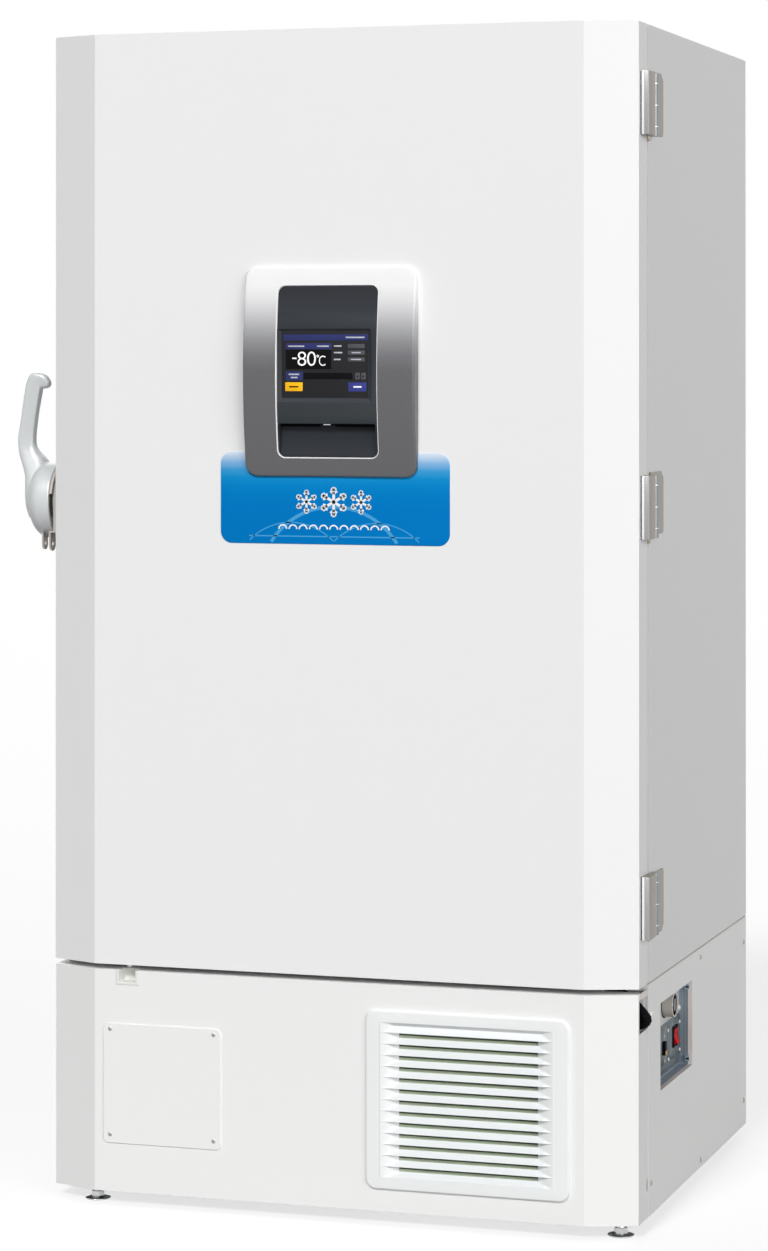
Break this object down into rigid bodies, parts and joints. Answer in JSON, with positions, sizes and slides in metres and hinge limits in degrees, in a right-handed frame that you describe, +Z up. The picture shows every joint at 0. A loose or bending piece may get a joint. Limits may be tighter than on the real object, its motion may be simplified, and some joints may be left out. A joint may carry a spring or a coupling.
{
  "type": "ultra low temperature freezer",
  "caption": "Upright laboratory freezer with an insulated cabinet, a side-hinged door with an arched control surround and lever latch, and a machine compartment with a louvred intake.",
  "frame": {"origin": "on the floor under the middle of the bounding box, latch lever and hinges included", "axes": "+Z up, -Y out of the door's front, +X towards the hinges"},
  "size_m": [1.146, 0.93, 1.993],
  "materials": {
    "cabinet_steel": "semi-gloss white powder coat",
    "door_steel": "semi-gloss white powder coat",
    "base_steel": "satin white powder coat",
    "zinc_steel": "zinc plated",
    "liner_steel": "brushed stainless",
    "hinge_metal": "satin warm grey",
    "lever_metal": "cast, satin silver paint",
    "latch_metal": "zinc plated",
    "surround_plastic": "white at the top to mid grey at the bottom",
    "dark_plastic": "fine satin dark grey",
    "screen_glass": "smooth display glass",
    "blue_film": "satin print, fading to white at its top",
    "gasket_rubber": "soft matte",
    "foam": "rigid foam",
    "breaker_plastic": "smooth moulded",
    "grille_plastic": "satin moulded",
    "filter_mat": "fine grey-green mesh",
    "cup_plastic": "satin moulded",
    "recess_metal": "satin blue-grey",
    "port_plastic": "satin grey",
    "black_plastic": "satin black",
    "rocker_red": "glossy red",
    "tyre_rubber": "grey-black tread",
    "machine_black": "semi-gloss black",
    "fin_metal": "fine fins",
    "fan_plastic": "satin black"
  },
  "bodies": {
    "cabinet": {"cabinet_shell": "cabinet_steel", "breaker_frame": "breaker_plastic", "inner_liner": "liner_steel", "insulation_walls": "foam", "port_sleeves": "breaker_plastic", "port_plug": "tyre_rubber", "shelf_lower": "liner_steel", "shelf_middle": "liner_steel", "shelf_upper": "liner_steel", "shelf_rails": "liner_steel", "machine_base": "base_steel", "side_panel_left": "base_steel", "side_panel_right": "base_steel", "rear_panel": "base_steel", "power_inlet": "black_plastic", "rear_spacers": "zinc_steel", "front_panel": "base_steel", "keeper_cup": "cup_plastic", "cover_plate": "base_steel", "panel_screws": "zinc_steel", "service_box": "recess_metal", "service_plates": "recess_metal", "signal_port": "port_plastic", "switch_housings": "black_plastic", "door_conduit": "black_plastic", "condenser": "fin_metal", "fan_shroud": "machine_black", "first_stage_compressor": "machine_black", "second_stage_compressor": "machine_black", "cabinet_hinge_leaves": "hinge_metal", "strike_plate": "latch_metal"},
    "door": {"door_shell": "door_steel", "door_insulation": "foam", "door_inner_panel": "breaker_plastic", "door_gasket": "gasket_rubber", "door_hinge_leaves": "hinge_metal", "control_frame": "surround_plastic", "control_panel": "dark_plastic", "display_screen": "screen_glass", "data_port": "zinc_steel", "blue_plate": "blue_film", "latch_base": "latch_metal"},
    "lever": {"latch_lever": "lever_metal", "latch_hook": "latch_metal"},
    "inner_lower": {"inner_door_lower": "breaker_plastic"},
    "inner_upper": {"inner_door_upper": "breaker_plastic"},
    "grille": {"intake_grille": "grille_plastic", "condenser_filter": "filter_mat"},
    "rocker": {"power_rocker": "rocker_red"},
    "fan": {"condenser_fan": "fan_plastic"},
    "foot_left": {"levelling_foot_left": "zinc_steel"},
    "foot_right": {"levelling_foot_right": "zinc_steel"},
    "fork_front_left": {"caster_fork_front_left": "zinc_steel"},
    "wheel_front_left": {"caster_wheel_front_left": "tyre_rubber"},
    "fork_front_right": {"caster_fork_front_right": "zinc_steel"},
    "wheel_front_right": {"caster_wheel_front_right": "tyre_rubber"},
    "fork_rear_left": {"caster_fork_rear_left": "zinc_steel"},
    "wheel_rear_left": {"caster_wheel_rear_left": "tyre_rubber"},
    "fork_rear_right": {"caster_fork_rear_right": "zinc_steel"},
    "wheel_rear_right": {"caster_wheel_rear_right": "tyre_rubber"}
  },
  "joints": [
    {"name": "door_hinge", "type": "hinge", "parent": "cabinet", "child": "door", "pos_m": [0.566, -0.331, 1.193], "axis": [0, 0, 1], "range_deg": [0, 110]},
    {"name": "latch_turn", "type": "hinge", "parent": "door", "child": "lever", "pos_m": [-0.502, -0.331, 1.193], "axis": [1, 0, 0], "range_deg": [0, 90]},
    {"name": "inner_lower_hinge", "type": "hinge", "parent": "cabinet", "child": "inner_lower", "pos_m": [0.467, -0.333, 0.863], "axis": [0, 0, 1], "range_deg": [0, 94]},
    {"name": "inner_upper_hinge", "type": "hinge", "parent": "cabinet", "child": "inner_upper", "pos_m": [0.467, -0.333, 1.563], "axis": [0, 0, 1], "range_deg": [0, 94]},
    {"name": "grille_pull", "type": "slide", "parent": "cabinet", "child": "grille", "axis": [0, -1, 0], "range_m": [0, 0.08]},
    {"name": "rocker_turn", "type": "hinge", "parent": "cabinet", "child": "rocker", "pos_m": [0.536, -0.06, 0.27], "axis": [0, 1, 0], "range_deg": [0, 18]},
    {"name": "fan_turn", "type": "hinge", "parent": "cabinet", "child": "fan", "pos_m": [0.274, -0.341, 0.213], "axis": [0, 1, 0], "continuous": true},
    {"name": "foot_left_thread", "type": "slide", "parent": "cabinet", "child": "foot_left", "axis": [0, 0, -1], "range_m": [-0.009, 0.015]},
    {"name": "foot_right_thread", "type": "slide", "parent": "cabinet", "child": "foot_right", "axis": [0, 0, -1], "range_m": [-0.009, 0.015]},
    {"name": "swivel_front_left", "type": "hinge", "parent": "cabinet", "child": "fork_front_left", "pos_m": [-0.392, -0.283, 0.075], "axis": [0, 0, 1], "continuous": true},
    {"name": "roll_front_left", "type": "hinge", "parent": "fork_front_left", "child": "wheel_front_left", "pos_m": [-0.392, -0.267, 0.0305], "axis": [1, 0, 0], "continuous": true},
    {"name": "swivel_front_right", "type": "hinge", "parent": "cabinet", "child": "fork_front_right", "pos_m": [0.478, -0.283, 0.075], "axis": [0, 0, 1], "continuous": true},
    {"name": "roll_front_right", "type": "hinge", "parent": "fork_front_right", "child": "wheel_front_right", "pos_m": [0.478, -0.267, 0.0305], "axis": [1, 0, 0], "continuous": true},
    {"name": "swivel_rear_left", "type": "hinge", "parent": "cabinet", "child": "fork_rear_left", "pos_m": [-0.392, 0.366, 0.075], "axis": [0, 0, 1], "continuous": true},
    {"name": "roll_rear_left", "type": "hinge", "parent": "fork_rear_left", "child": "wheel_rear_left", "pos_m": [-0.392, 0.382, 0.029], "axis": [1, 0, 0], "continuous": true},
    {"name": "swivel_rear_right", "type": "hinge", "parent": "cabinet", "child": "fork_rear_right", "pos_m": [0.478, 0.366, 0.075], "axis": [0, 0, 1], "continuous": true},
    {"name": "roll_rear_right", "type": "hinge", "parent": "fork_rear_right", "child": "wheel_rear_right", "pos_m": [0.478, 0.382, 0.029], "axis": [1, 0, 0], "continuous": true}
  ],
  "couplings": [
    {"joint": "inner_lower_hinge", "follows": "door_hinge", "ratio": 0.85},
    {"joint": "inner_upper_hinge", "follows": "door_hinge", "ratio": 0.85}
  ]
}
